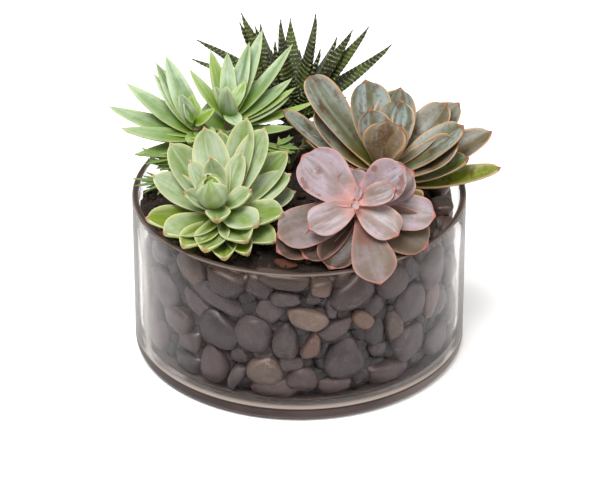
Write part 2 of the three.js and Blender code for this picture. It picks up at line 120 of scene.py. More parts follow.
def photo_colour(screen):
    """The skin colour that looks like this screen colour (0 to 255) in this light."""
    parts = [value / 255 for value in screen]
    linear = [c / 12.92 if c <= 0.04045 else ((c + 0.055) / 1.055) ** 2.4 for c in parts]
    return (*(c / LIGHT for c in linear), 1.0)


class Finish:
    """A material under construction, or the room round the garden."""

    def __init__(self, name, room=None):
        self.material = room or bpy.data.materials.new(name)
        self.material.use_nodes = True
        self.tree = self.material.node_tree
        self.tree.nodes.clear()

    def node(self, kind, settings=None, sockets=None, output=0):
        """Any node: its type, its settings, then what goes into its sockets, by name or number."""
        node = self.tree.nodes.new("ShaderNode" + kind)
        for name, value in (settings or {}).items():
            setattr(node, name, value)
        for name, value in (sockets or {}).items():
            as_input(node.inputs[name], value)
        return Wire(node.outputs[output]) if node.outputs else None

    def mix(self, first, second, factor):
        """Blends two colours, each of them a link or a screen colour."""
        first, second = (photo_colour(c) if isinstance(c, tuple) else c for c in (first, second))
        return self.node("Mix", {"data_type": "RGBA"}, {0: factor, 6: first, 7: second}, output=2)

    def between(self, value, low, high):
        """0 below low, 1 above high, and smooth from one to the other."""
        settings = {"interpolation_type": "SMOOTHSTEP"}
        return self.node("MapRange", settings, {0: value, 1: low, 2: high})

    def mark(self, name):
        """A number that the mesh carries at each of its points."""
        return self.node("Attribute", {"attribute_name": name}, output=2)

    def place(self):
        return self.node("TexCoord", output=3)

    def millimetres(self, axis):
        """How far the place is along X, Y or Z: axis 0, 1 or 2."""
        return self.node("SeparateXYZ", {}, {0: self.place()}, output=axis) / MM

    def vector(self, x, y, z):
        return self.node("CombineXYZ", {}, {0: x, 1: y, 2: z})

    def cloud(self, scale, detail=3, where=None, roughness=0.5):
        """Soft noise with blobs about 1 / scale metres wide."""
        blobs = {"Scale": scale, "Detail": detail, "Roughness": roughness}
        return self.node("TexNoise", {}, {"Vector": where or self.place(), **blobs})

    def layers(self, colour, *coats):
        """Lays coats over a colour. Each is a colour and how much of it shows, from 0 to 1."""
        for coat, share in coats:
            colour = self.mix(colour, coat, share)
        return colour

    def surface(self, shader):
        self.node("OutputMaterial", {}, {"Surface": shader})
        print("finish:", self.material.name, "with", len(self.tree.nodes), "nodes")
        return self.material

    def skin(self, colour, roughness, gloss, height, depth, more=None):
        """A Principled surface, with a bump `depth` metres deep for a height from 0 to 1."""
        bump = self.node("Bump", {}, {"Strength": 1.0, "Distance": depth, "Height": height})
        return self.surface(self.node("BsdfPrincipled", {}, {
            "Base Color": colour, "Roughness": roughness, "Specular IOR Level": gloss,
            "Normal": bump, **(more or {})}))


# %% Lamps and white room
def lamp(name, place, size, watts):
    """A square soft lamp that faces the plants."""
    data = bpy.data.lights.new(name, "AREA")
    data.size, data.energy = size, watts
    made = bpy.data.objects.new(name, data)
    made.location = place
    made.rotation_euler = (Vector((0, 0, 0.09)) - made.location).to_track_quat("-Z", "Y").to_euler()
    scene.collection.objects.link(made)


lamp("lamp_left", (-0.42, -0.5, 1.85), 1.0, 42)
lamp("lamp_right", (1.3, -0.5, 0.9), 0.8, 8)
scene.world = bpy.data.worlds.new("white_room")
room = Finish("white_room", scene.world)
height = room.node("SeparateXYZ", {}, {0: room.node("TexCoord", output=0)}, output=2)
brightness = room.between(height, -0.2, 0.9) * 0.7 + 0.26
room.node("OutputWorld", {}, {"Surface": room.node("Background", {}, {
    "Color": (1.0, 0.978, 0.96, 1), "Strength": brightness})})
scene.view_settings.view_transform = "Standard"

# %% [markdown]
# ## Solids
# Nearly everything here is a tube with two closed ends: the bowl, the soil, each leaf and each
# stalk. So one function gives them all their faces. A heap joins many solids into one piece, as a
# plant is one piece.


# %% Meshes from points and faces
def closed_skin(rings, sides):
    """Faces of a tube of rings, closed by a first and a last point that come after the rings."""
    pairs = [(k, (k + 1) % sides) for k in range(sides)]
    faces = [(rings * sides, n, k) for k, n in pairs]
    last = (rings - 1) * sides
    for row in range(0, last, sides):
        faces += [(row + k, row + n, row + sides + n, row + sides + k) for k, n in pairs]
    return faces + [(last + k, last + n, rings * sides + 1) for k, n in pairs]


class Heap:
    """Gathers solids into one piece. Each mark is one number, or one per point."""

    def __init__(self, *names):
        self.points, self.faces, self.marks, self.count = [], [], {name: [] for name in names}, 0

    def add(self, points, faces, marks, place=None):
        if place is not None:
            points = points @ np.array(place.to_3x3()).T + np.array(place.translation)
        self.faces += [[self.count + v for v in face] for face in faces]
        self.points.append(points)
        self.count += len(points)
        for name, values in self.marks.items():
            values.append(np.broadcast_to(marks.get(name, 0), len(points)))

    def finish(self, name, material, slot, *nodes):
        """Makes the mesh in metres, faces outwards and smooth, and gives it its place."""
        mesh = bpy.data.meshes.new(name)
        mesh.from_pydata(np.concatenate(self.points) * MM, [], self.faces)
        for mark, values in self.marks.items():
            layer = mesh.attributes.new(mark, "FLOAT", "POINT")
            layer.data.foreach_set("value", np.concatenate(values).astype(np.float32))
        work = bmesh.new()
        work.from_mesh(mesh)
        bmesh.ops.recalc_face_normals(work, faces=work.faces)
        work.to_mesh(mesh)
        work.free()
        mesh.shade_smooth()
        mesh.materials.append(material)
        made = bpy.data.objects.new(name, mesh)
        scene.collection.objects.link(made)
        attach(made, "root")
        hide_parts(*nodes)
        print(name, len(mesh.polygons), "faces")


# %% Floor
DROP = 0.0004  # metres, which keeps the floor clear of the bowl's base
white = Finish("pale_floor")
bpy.ops.mesh.primitive_plane_add(size=8, location=(0, 0, -DROP))
floor = bpy.context.object
floor.name = "floor"
floor.data.materials.append(white.surface(white.node("BsdfPrincipled", {}, {
    "Base Color": (0.95, 0.95, 0.95, 1), "Roughness": 0.6, "Specular IOR Level": 0.2})))

# %% [markdown]
# ## The glass bowl
# A drawn glass cylinder has walls of even thickness, a heavier floor and softly rounded edges. A
# profile turned round the axis makes that exactly. The rounded edges matter most: their reflections
# tell the eye that it is glass.


# %% Turn a profile round the axis
def lathe(profile, turns=192):
    """Closed solid from a profile of (radius, height) that starts and ends on the axis."""
    angles = [2 * pi * k / turns for k in range(turns)]
    points = [(r * cos(a), r * sin(a), height) for r, height in profile[1:-1] for a in angles]
    ends = [(0, 0, profile[0][1]), (0, 0, profile[-1][1])]
    return np.array(points + ends), closed_skin(len(profile) - 2, turns)


def rounded(radius, height, bend, start, end, steps=5):
    """Points of a rounded corner: its centre, its bend and its two angles."""
    turns = [radians(start + (end - start) * k / steps) for k in range(steps + 1)]
    return [(radius + bend * cos(a), height + bend * sin(a)) for a in turns]


# %% Bowl
_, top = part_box("glass_bowl")
BOWL_RADIUS, BOWL_HEIGHT = round(top.x / MM, 1), round(top.z / MM, 1)
WALL, GLASS_FLOOR = 4.0, 10.0
INSIDE_RADIUS = BOWL_RADIUS - WALL
CORNER, LIP = 4, 1.9  # how far the foot and the rim are rounded
bowl_profile = [
    (0, 0), (60, 0), *rounded(BOWL_RADIUS - CORNER, CORNER, CORNER, -90, 0, 6),
    (BOWL_RADIUS, 30), (BOWL_RADIUS, 70),
    *rounded(BOWL_RADIUS - LIP, BOWL_HEIGHT - LIP, LIP, 0, 90),
    *rounded(INSIDE_RADIUS + LIP, BOWL_HEIGHT - LIP, LIP, 90, 180),
    (INSIDE_RADIUS, 70), (INSIDE_RADIUS, 30),
    *rounded(INSIDE_RADIUS - CORNER, GLASS_FLOOR + CORNER, CORNER, 0, -90),
    (60, GLASS_FLOOR), (0, GLASS_FLOOR)]
bowl = Heap()
bowl.add(*lathe(bowl_profile), {})
print("bowl:", bowl.count, "points")

# %% [markdown]
# Thick glass looks dark where light comes a long way through it: at the rim, and in the floor,
# under a bright line. That needs more bounces of light than the render has. So these marks are
# painted on, by height, distance from the axis and angle of view, and the glass bends light only a
# little. The bright line is a painted highlight, and the grey and pale streaks at the sides are
# painted reflections. Light passes straight through to the stones, but the floor of glass casts a
# shadow.

# %% Masks on the glass
glass = Finish("clear_glass")
across, deep, tall = map(glass.millimetres, range(3))
radius = (across * across + deep * deep) ** 0.5
facing = glass.node("LayerWeight", {}, {"Blend": 0.5}, "Facing")
over_floor = glass.between(tall, 9.4, 9.8)
outer = glass.between(radius, INSIDE_RADIUS + 0.4, INSIDE_RADIUS + 0.8)
slab = (1 - over_floor) * glass.between(radius, 90, 95)
# bed: the inner face of the glass floor, painted a brown veil of shade and reflection where it
# shows between the lowest stones.
bed = (1 - outer) * over_floor * (1 - glass.between(tall, 12, 15))
# Painted haze: a brown veil on the outside of the wall just above the floor of glass.
painted_haze = outer * over_floor * (1 - glass.between(tall, 10.5, 15))
rim = glass.between(tall, BOWL_HEIGHT - 1.6, BOWL_HEIGHT - 0.8)
side = outer * (1 - slab)
# Painted reflection: the wall turns grey where it is seen from the side.
wall = side * glass.between(facing, 0.75, 0.8)
# Painted reflection: a pale streak a little in from each side of the wall, stronger at the left.
painted_reflection = side * glass.between(facing, 0.6, 0.69) * (1 - glass.between(facing, 0.71, 0.77))
cover = rim * 0.9 + slab + painted_haze * 0.85 + bed * 0.9 + wall * 0.8 + painted_reflection * (0.45 - across / 400)

# %% Paint on the glass
upright = glass.node("VectorMath", {"operation": "MULTIPLY"}, {0: glass.place(), 1: (1, 1, 4)})
cords = glass.cloud(30, 3, upright)
from_ridge = abs(radius - (INSIDE_RADIUS + WALL / 2))
lips = glass.mix((70, 56, 50), (124, 108, 98), glass.between(from_ridge, 0.7, 1.4))
# All of this paint is painted light and shade: a dark floor band with a dark line under a bright
# highlight line, a lighter bottom edge, a band that grows lighter towards the right, a brown haze
# above the floor, and grey and pale reflections at the sides.
paint = glass.layers(
    (66, 52, 50),
    ((86, 71, 69), glass.between(cords, 0.35, 0.7)),
    ((118, 106, 100), 1 - glass.between(tall, 1.6, 2.4)),
    ((132, 119, 110), glass.between(across, 35, 85) * (0.6 + 0.4 * cords)),
    ((50, 36, 36), glass.between(tall, 6.8, 7.6)),  # the dark line
    ((186, 171, 160), glass.between(tall, 8.0, 8.8)),  # the bright line
    ((112, 98, 90), glass.between(tall, 9.8, 12.0)),
    ((124, 110, 105), bed), ((112, 108, 101), wall), ((200, 196, 188), painted_reflection), (lips, rim))

# %% The glass itself
painted_marks = glass.node("BsdfPrincipled", {}, {
    "Base Color": paint, "Roughness": 0.4, "Specular IOR Level": 0.15})
clear = glass.node("BsdfPrincipled", {}, {
    "Base Color": (0.88, 0.86, 0.865, 1), "Roughness": 0.0, "IOR": 1.05, "Transmission Weight": 1.0,
    "Coat Weight": glass.between(facing, 0.2, 0.65) * (0.5 - across / 600) + 0.04,
    "Coat Roughness": 0.0, "Coat IOR": 1.5})
passed = glass.node("BsdfTransparent", {}, {"Color": (0.93, 0.925, 0.925, 1)})
body = glass.node("MixShader", {}, {0: cover, 1: clear, 2: painted_marks})
for ray in ("Is Shadow Ray", "Is Diffuse Ray"):
    is_ray = glass.node("LightPath", output=ray)
    body = glass.node("MixShader", {}, {0: is_ray * (1 - slab), 1: body, 2: passed})
bowl.finish("bowl_glass", glass.surface(body), "clear_glass", "glass_bowl")

# %% [markdown]
# ## The pebbles
# River stones are flattened, lopsided balls. Each is a ball of triangles, squeezed to its own size,
# pushed in and out by slow noise and stood against the glass. The front ones are placed one by one,
# and the rest follow a rule with a fixed seed.

# %% Where the stones stand
# Each is its turn from the front, height, width, tallness, thickness, tilt, and its distance from
# the glass if it has one. The last five tan ones stand at the back, where the photo doesn't show.
GREY_STONES = [
    (-79, 68, 24, 19, 12, 10), (-62, 83, 22, 17, 11, 20), (-60, 60, 34, 20, 13, -38),
    (-51, 45, 24, 18, 12, 0), (-71, 37, 20, 27, 12, 0), (-66, 22, 22, 22, 12, 10),
    (-28, 83, 25, 19, 13, -8), (-33, 72, 42, 15, 11, -20, 3), (-42, 62, 24, 12, 11, -30, 3),
    (-31, 50, 30, 24, 13, -20), (-17, 53, 24, 25, 13, -30), (-46, 34, 20, 17, 11, 0, 2),
    (-33, 25, 20, 27, 13, -15), (-9, 17, 30, 13, 11, 0, 1), (-47, 17, 24, 14, 12, 0, 2),
    (-23, 36, 13, 11, 9, 0, 3), (-11, 70, 17, 16, 11, -30, 3), (-15, 85, 18, 16, 11, -20, 3),
    (-5, 80, 18, 10, 9, 0), (-6, 92, 33, 11, 11, -8), (-5, 50, 16, 26, 13, 0),
    (-3, 34, 16, 12, 10, 0, 3), (20, 79, 30, 19, 13, 30), (37, 80, 23, 20, 12, 10),
    (14, 57, 23, 11, 11, 25, 2), (29, 49, 15, 19, 11, 0, 3), (46, 60, 26, 26, 13, 0),
    (60, 74, 28, 25, 13, 15), (17, 36, 26, 29, 14, 5), (45, 33, 25, 24, 13, 10),
    (35, 19, 30, 15, 12, -5), (1, 24, 20, 16, 11, 0), (13, 18, 22, 11, 11, 0, 2),
    (24, 20, 14, 13, 11, 0, 3), (67, 44, 20, 22, 12, 20, 2), (63, 22, 26, 18, 12, 20),
    (78, 30, 20, 26, 12, -20), (29, 66, 17, 12, 10, 35, 4), (77, 60, 22, 20, 12, 0),
    (79, 83, 23, 16, 11, 0), (-79, 52, 22, 17, 12, 0, 2), (-82, 22, 26, 18, 12, 0),
    (12, 71, 8, 17, 9, 0, 4), (31, 36, 12, 10, 9, 0, 4), (5, 79, 12, 10, 9, 0, 4),
    (-14, 36, 14, 12, 10, 0, 5), (50, 17, 14, 12, 11, 0, 3), (49, 80, 12, 16, 10, 15, 4),
    (-24, 20, 9, 20, 9, -25, 1),
]
TAN_STONES = [
    (-43, 86, 25, 18, 12, -38), (-13, 28, 23, 20, 12, 8), (3, 66, 26, 13, 11, -20),
    (5, 47, 11, 20, 10, -22, 2), (8, 86, 14, 11, 10, 0, 1), (24, 61, 15, 10, 10, -40),
    (38, 50, 12, 22, 10, 15, 1), (59, 52, 16, 24, 11, -20, 2), (112, 68, 22, 15, 11, 20),
    (151, 31, 25, 17, 11, -15), (203, 74, 18, 14, 11, 40), (236, 44, 22, 18, 11, -30),
    (262, 16, 24, 12, 11, 5),
]
TOP_TAN = [((87, -3, 91.5), (13, 17, 9), 10), ((86, 17, 92), (11, 14, 8), -25)]


# %% Numbers that are the same on every run
def drawing(seed):
    while True:
        seed = (seed * 1664525 + 1013904223) % 4294967296
        yield seed / 4294967296


# %% One stone
def ball(subdivisions):
    work = bmesh.new()
    bmesh.ops.create_icosphere(work, subdivisions=subdivisions, radius=1)
    work.verts.ensure_lookup_table()
    points = np.array([v.co[:] for v in work.verts])
    faces = [[v.index for v in f.verts] for f in work.faces]
    work.free()
    return points, faces


BALL = ball(4)
SMALL_BALL, FILL_BALL = ball(3), ball(2)


def turned(angle, axis="Z"):
    return np.array(Matrix.Rotation(radians(angle), 3, axis))


def stone(size, seed, shape=BALL, lumps=0.12):
    """A tumbled stone round the origin: a squarish, lopsided ball with slow lumps."""
    points = shape[0]
    square = 2.2 + 0.9 * (seed * 0.618 % 1)
    points = points / ((np.abs(points) ** square).sum(1) ** (1 / square))[:, None]
    shift = Vector((seed * 7.3, seed * 3.1, seed * 5.7))
    lump = np.array([noise.noise(Vector(p) * 1.2 + shift) for p in points])
    points = points * (1 + lumps * lump)[:, None]
    skew, lean = (0.2 * sin(seed * k) for k in (2.4, 4.1))
    points = points * np.stack([1 + skew * points[:, 2], 0 * lump + 1, 1 + lean * points[:, 0]], 1)
    low, high = points.min(0), points.max(0)
    return ((points - low) / (high - low) - 0.5) * np.array(size)


# %% Stones against the glass
FACE_RADIUS = INSIDE_RADIUS - 0.6


def standing_stone(row, seed, shape=BALL):
    turn, height, width, tall, thickness, tilt, inset = (*row, 0)[:7]
    points = stone((width, thickness, tall), seed, shape) @ turned(-tilt, "Y").T
    face = FACE_RADIUS - inset
    out = face - thickness / 2
    # The stone follows the glass: its ends curl back as far as the wall does.
    bend = face - np.sqrt(np.maximum(face ** 2 - points[:, 0] ** 2, 0))
    height = max(height, GLASS_FLOOR + 0.6 + tall / 2)
    points = points + np.stack([0 * bend, bend * 0.9 - out, 0 * bend + height], 1)
    return points @ turned(turn).T, shape[1]


def back_rows():
    """Four rows of stones round the sides and the back, with a little chance in every number."""
    draw = drawing(7)
    near = lambda middle, spread: middle + (next(draw) - 0.5) * 2 * spread
    for level, height in enumerate((21, 41, 61, 81)):
        for turn in range(94 + level % 2 * 11, 274, 22):
            yield (near(turn, 4.5), near(height, 3.5), near(30, 6), near(22, 4.5), near(12, 1.5),
                   near(0, 45), near(1, 1))


# %% Three layers of grey stones
# A smaller layer shows in the gaps of the first, and small fillers stand behind both.
# The deep mark of these layers is painted shade: it darkens them as if in the shadow of the stones
# in front.
SECOND_LAYER_SHADE, FILLER_SHADE = 0.5, 0.85  # how dark they are, in the shade of the first
shade_of = lambda number: number * 0.37 % 1
behind = list(back_rows())
hidden = [(turn - 9, min(height + 8, 88 - tall * 0.35), width * 0.75, tall * 0.7, 11, tilt, 9)
          for turn, height, width, tall, _, tilt, *_ in GREY_STONES + behind]
river = Heap("own", "deep")
for number, row in enumerate(GREY_STONES):
    river.add(*standing_stone(row, number), {"own": shade_of(number)})
for number, row in enumerate(behind + hidden):
    marks = {"own": shade_of(number), "deep": 0 if number < len(behind) else SECOND_LAYER_SHADE}
    river.add(*standing_stone(row, 100 + number, SMALL_BALL), marks)
for level in range(9):
    for step in range(48):
        chance = (level * 0.618 + step * 0.382) % 1
        row = (7.5 * step + 4 * chance, 15 + 8.5 * level + 3 * chance, 15, 12 + 3 * chance, 9,
               180 * chance, 5 + chance)
        river.add(*standing_stone(row, step, FILL_BALL), {"own": chance, "deep": FILLER_SHADE})

# %% Stones on the floor of the bowl
draw = drawing(19)
for ring_radius, count in ((17, 2), (45, 6), (70, 10)):
    for k in range(count):
        chance = next(draw)
        points = stone((15 + 2 * chance, 11.5 + 2 * chance, 6), 400 + k, SMALL_BALL)
        points = points @ turned(180 * chance).T + (ring_radius, 0, GLASS_FLOOR + 6)
        points = points @ turned(360 * (k + 0.4 * chance) / count).T
        river.add(points, SMALL_BALL[1], {"own": chance})
print(len(river.points), "river stones")

# %% Tan stones
tan = Heap("own", "deep")
for number, row in enumerate(TAN_STONES):
    tan.add(*standing_stone(row, 300 + number), {"own": shade_of(number)})
for number, (at, size, turn) in enumerate(TOP_TAN):
    points = stone(size, 330 + number) @ turned(turn).T + at
    # The deep mark darkens these two top tan stones a little.
    tan.add(points, BALL[1], {"own": 0.09 + 0.37 * number, "deep": 0.3})
print(len(tan.points), "tan stones")

# %% [markdown]
# River stones are matt to satin, dark warm grey, no two alike. A number that every stone carries
# shifts its shade, and also its place in the noise, so that no pattern runs on from one stone to
# the next. Near the top the soil has stained them brown, most of all at the right, where the bed
# lies open.


# %% Stone finish
def stone_finish(name, dark, pale, warm, vein):
    made = Finish(name)
    own = made.mark("own")
    shift = made.vector(own * 3.7, own * 1.9, own * 5.3)
    where = made.node("VectorMath", {"operation": "ADD"}, {0: made.place(), 1: shift})
    clouds, grain, specks, veins, smears = (
        made.cloud(scale, detail, where, 0.6)
        for scale, detail in ((45, 3), (420, 4), (1500, 1), (60, 2), (150, 3)))
    to_right = made.between(made.millimetres(0), 55, 85)
    stained = made.between(made.millimetres(2) + clouds * 8 + to_right * 6, 87, 95)
    colour = made.layers(
        dark,
        (pale, made.between(clouds * 0.5 + own * 0.6, 0.25, 0.85)),
        (warm, made.between((own * 17).wave(), 0.3, 1.0) * 0.6),
        (vein, made.between(grain, 0.5, 0.75) * 0.3),
        (vein, made.between(specks, 0.64, 0.74) * 0.5),
        (vein, (1 - made.between(abs(veins - 0.5), 0.0, 0.01)) * 0.3),
        (dark, made.between(smears, 0.5, 0.7) * 0.45),
        # Painted shade: the deep mark darkens the back layers as if in the shadow of the stones in
        # front.
        ((22, 18, 18), made.mark("deep") * 0.85),
        ((66, 48, 36), stained * 0.85))
    return made.skin(colour, 0.26 + own * 0.2 + grain * 0.25, 0.5, grain * 0.25 + clouds, 0.0002)


grey_stone = stone_finish("grey_pebble", (46, 36, 38), (94, 81, 82), (90, 68, 66), (144, 131, 128))
tan_stone = stone_finish(
    "tan_pebble", (88, 70, 62), (136, 115, 102), (124, 90, 74), (178, 160, 146))
river.finish("pebbles_river", grey_stone, "grey_pebble", "pebbles_grey")
tan_nodes = sorted(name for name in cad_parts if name.startswith("pebble_t"))
tan.finish("pebbles_warm", tan_stone, "tan_pebble", *tan_nodes)

# %% [markdown]
# ## The soil
# Potting soil is a mound of dark crumbs with bits of reddish bark. A round grid pushed up and down
# by noise gives the mound, and a few hundred loose crumbs and chips break up its outline. At the
# left and the front right it spills over the stones, up to the glass.


# %% The mound
def soil_top(x, y):
    """Height of the soil: a crown, slow waves, a mound for the haworthia and two spills."""
    crown = 13 * (1 - (x * x + y * y) / INSIDE_RADIUS ** 2)
    waves = 1.2 * sin(0.31 * x + 1.3) * cos(0.27 * y) + 0.8 * sin(0.13 * x - 0.41 * y + 2)
    heap = lambda height, at_x, at_y, wide: height * exp(
        -((x - at_x) ** 2 + (y - at_y) ** 2) / (2 * wide * wide))
    return (88 + crown + heap(15, -2, 62, 24) + waves + heap(6.5, -93, -10, 17)
            + heap(4, 80, -36, 12))


def soil_reach(turn):
    """How far the soil goes out from the axis: up to the glass at its two spills."""
    spill = 8 * exp(-((turn - 3.3) / 0.5) ** 2) + 8 * exp(-((turn - 5.85) / 0.35) ** 2)
    edge = 86 - 5 * cos(turn) + 2 * sin(turn) + 0.8 * sin(5 * turn) + spill
    return min(edge, INSIDE_RADIUS - 0.8)


def crumble(x, y):
    """Small rises and pits of the surface, a millimetre or two high."""
    coarse, fine = Vector((x, y, 3)) * 0.35, Vector((x, y, 9)) * 0.9
    return 1.3 * (noise.noise(coarse) + 0.6 * noise.noise(fine))


RINGS, SPOKES, FLANK, UNDERSIDE = 60, 200, 85.5, GLASS_FLOOR + 0.6
spokes = [2 * pi * k / SPOKES for k in range(SPOKES)]
soil_points = []
for ring in range(1, RINGS + 1):
    for turn in spokes:
        far = soil_reach(turn) * ring / RINGS
        x, y = far * cos(turn), far * sin(turn)
        soil_points.append((x, y, soil_top(x, y) + crumble(x, y) - (2 if ring == RINGS else 0)))
for level in (76, 45, UNDERSIDE):
    soil_points += [(FLANK * cos(turn), FLANK * sin(turn), level) for turn in spokes]
soil_points += [(0, 0, soil_top(0, 0)), (0, 0, UNDERSIDE)]
soil = Heap("own")
soil.add(np.array(soil_points), closed_skin(RINGS + 3, SPOKES), {})

# %% Crumbs and bark
draw = drawing(41)
for number in range(520):
    turn, far = 2 * pi * next(draw), sqrt(next(draw))
    x, y = (far * (soil_reach(turn) - 3) * f(turn) for f in (cos, sin))
    size = 1.4 + 3.4 * next(draw) ** 2
    bark = number % 9 == 0
    shape = (size * 2.6, size * 1.3, 1.8) if bark else (size * 1.2, size, size * 0.8)
    points = stone(shape, number, FILL_BALL, 0.2) @ turned(40 * (next(draw) - 0.5), "X").T
    height = soil_top(x, y) + crumble(x, y) + size * 0.15
    points = points @ turned(360 * next(draw)).T + (x, y, height)
    soil.add(points, FILL_BALL[1], {"own": 0.9 if bark else 0.1 + 0.4 * next(draw)})

# %% Soil finish
earth = Finish("potting_soil")
own = earth.mark("own")
grit, clumps = earth.cloud(1300, 4), earth.cloud(220, 3)
colour = earth.layers(
    (28, 22, 18),
    ((70, 52, 40), earth.between(grit, 0.45, 0.7)),
    ((88, 66, 50), earth.between(own, 0.1, 0.6) * 0.5),
    ((104, 58, 38), earth.between(own, 0.7, 0.85) * 0.7),
    ((120, 96, 74), earth.between(clumps, 0.62, 0.72) * 0.4))
earth_skin = earth.skin(colour, 0.75 + grit * 0.2, 0.25, grit + clumps, 0.0012)
soil.finish("soil_crumbs", earth_skin, "soil", "soil")

# %% [markdown]
# ## The leaves
# Every rosette is built from one kind of leaf: a rib that curves upwards, an outline that swells
# and then runs to a point, a hollow face and a rounded keel. The plants differ only in those
# numbers, most of which are the solid model's. Each point also remembers its place on the leaf, so
# that a finish can find the edge, the tip and the foot.

# %% The outline of a leaf
def breadth(t, form):
    """Share of the full width at t, from 0 at the foot to 1 at the tip."""
    neck, peak, point = form["neck"], form["peak"], form["point"]
    rise = point * peak / (1 - peak)
    swell = (t / peak) ** rise * ((1 - t) / (1 - peak)) ** point
    return neck * (1 - t) + (1 - neck * (1 - peak)) * swell


def stations(count):
    """Places along a leaf, closer together towards the tip."""
    return 0.995 * (1 - (1 - np.linspace(0, 1, count)) ** 1.35)


# %% One leaf
UP = np.array([0, 0, 1.0])
SIDES = 20
SECTION = np.arange(SIDES) * 2 * np.pi / SIDES
MARKS = "along across top age tone edge tip dull scar stem fresh".split()


def leaf(root, row, form, count, finer, marks):
    """Points, faces and marks of one leaf. `finer` may add teeth or bands to its width and back."""
    azimuth, pitch, length, width, curl, roll = (*row, *(form.get("curl", 0), 0)[len(row) - 4:])
    turn = radians(azimuth)
    out = np.array([cos(turn), sin(turn), 0])
    rising = lambda angle: out * cos(radians(angle)) + UP * sin(radians(angle))
    tip, middle = root + rising(pitch) * length, root + rising(pitch - curl) * length / 2
    t = stations(count)[:, None]
    rib = (1 - t) ** 2 * root + 2 * t * (1 - t) * middle + t * t * tip
    run = (1 - t) * (middle - root) + t * (tip - middle)
    run /= np.linalg.norm(run, axis=1)[:, None]
    across = np.array([-out[1], out[0], 0])
    side = across * cos(radians(roll)) + np.cross(run, across) * sin(radians(roll))
    up = np.cross(run, side)
    x, bend = np.cos(SECTION)[None, :], np.sin(SECTION)[None, :]
    teeth, bands = finer(t, length * (1 - t), x, marks["tone"])
    half = np.maximum(width / 2 * breadth(t, form), 0.35) * (1 + teeth)
    thick = np.minimum(min(form["thick"], 0.34 * width) * (1 - form["taper"] * t), 1.1 * half + 0.2)
    rim = np.minimum(0.3, 0.5 * thick)
    face = form["cup"] * half * np.abs(x) ** 1.8 + form.get("ripple", 0) * np.abs(x) ** 3 * np.sin(
        9 * t + 4 * x + 30 * marks["tone"])
    above = face + rim * bend
    below = face - (thick + bands) * np.abs(bend) ** 1.2
    height = np.where(bend > 0, above + 0.5 * bands * bend, below)
    points = rib[:, None] + side[:, None] * (x * half)[..., None] + up[:, None] * height[..., None]
    points = np.concatenate([points.reshape(-1, 3), [root], [tip + run[-1] * form["spike"]]])
    spread = lambda values, ends: np.append(np.broadcast_to(values, (count, SIDES)), ends)
    own = {
        **marks, "along": spread(t, [0, 1]), "across": spread(x, [0, 0]), "scar": 0,
        "top": spread(np.clip(0.5 + bend * 2, 0, 1), [0.5, 0.5]),
        "edge": spread((1 - np.abs(x)) * half, [5, 0]),
        "tip": spread(length * (1 - t), [length, 0])}
    for place_along, place_across, size in marks.get("spots", ()):
        away = np.hypot((own["along"] - place_along) * length,
                        (own["across"] - place_across) * width / 2)
        own["scar"] = np.maximum(own["scar"], np.clip(1.5 - away / size, 0, 1))
    return points, closed_skin(count, SIDES), own


# %% Stalks
def stalk(centres, radius, sides=14):
    """A round stem through some points, thinner at its top, with no edge and no tip."""
    centres = np.array(centres, float)
    steps = np.linspace(0, 1, 9)[:-1, None]
    parts = [a + (b - a) * steps for a, b in zip(centres, centres[1:])]
    path = np.concatenate(parts + [centres[-1:]])
    path[1:-1] = (path[:-2] + 2 * path[1:-1] + path[2:]) / 4
    angles, rings = np.arange(sides) * 2 * np.pi / sides, []
    for k, point in enumerate(path):
        run = path[min(k + 1, len(path) - 1)] - path[max(k - 1, 0)]
        run /= np.linalg.norm(run)
        side = np.cross(run, (0, 1, 0.01))
        side /= np.linalg.norm(side)
        thick = radius * (1 - 0.3 * k / (len(path) - 1)) * (1 + 0.05 * sin(2.1 * k))
        rings.append(point + thick * (
            np.cos(angles)[:, None] * side + np.sin(angles)[:, None] * np.cross(run, side)))
    marks = {"stem": 1, "edge": 9, "tip": 30, "top": 0.5}
    return np.concatenate(rings + [path[:1], path[-1:]]), closed_skin(len(path), sides), marks


# %% A whole plant
def plain(t, from_tip, x, tone):
    """No teeth and no bands, only an edge that wavers a little."""
    return 0.03 * t * np.sin(10 * t + 3 * x + 30 * tone), 0 * t


def standing(plant):
    """Where a rosette stands, and how far and which way it leans."""
    tilt, toward = (radians(angle) for angle in plant["lean"])
    hinge = Vector((-sin(toward), cos(toward), 0))
    return Matrix.Translation(plant["base"]) @ Matrix.Rotation(tilt, 4, hinge)


def rosette(plant, seed, count=22, finer=plain):
    """All leaves of a rosette, the low ones that hide its stalk, and the stalk."""
    grown, place, draw = Heap(*MARKS), standing(plant), drawing(seed)
    last = len(plant["leaves"]) - 1
    for number, row in enumerate(plant["leaves"]):
        row = (*row[:3], row[3] * plant.get("slim", 1), *row[4:])
        notes = plant.get("notes", {}).get(number, {})
        marks = {"age": 1 - number / last, "tone": next(draw), **notes}
        root = np.array([0, 0, plant["rise"] * number / last - marks.get("sink", 0)])
        form = {**plant["form"], **marks.get("form", {})}
        grown.add(*leaf(root, row, form, count, finer, marks), place)
    for row in plant.get("low", ()):
        marks = {"age": 1, "tone": next(draw), "fresh": 0.4}
        grown.add(*leaf(np.zeros(3), row, plant["form"], count, finer, marks), place)
    x, y, z = plant["base"]
    foot, crown = (x, y, soil_top(x, y) - 9), place @ Vector((0, 0, 0.72 * plant["rise"]))
    grown.add(*stalk([foot, (x, y, z), crown], plant["stem"]))
    return grown


# %% [markdown]
# ## Leaf skins
# A succulent leaf is smooth, slightly waxy and lets a little light through. Its colour runs from a
# vivid foot to a paler face, with a thin bright line along the edge and a coloured tip. On the
# green, grey and blue plants the foot colour is also darkened as painted shade, where the leaves
# crowd at the heart. One function makes that skin, and each plant brings its own colours.


# %% Leaf finish
STALK_COLOUR = (120, 112, 82)


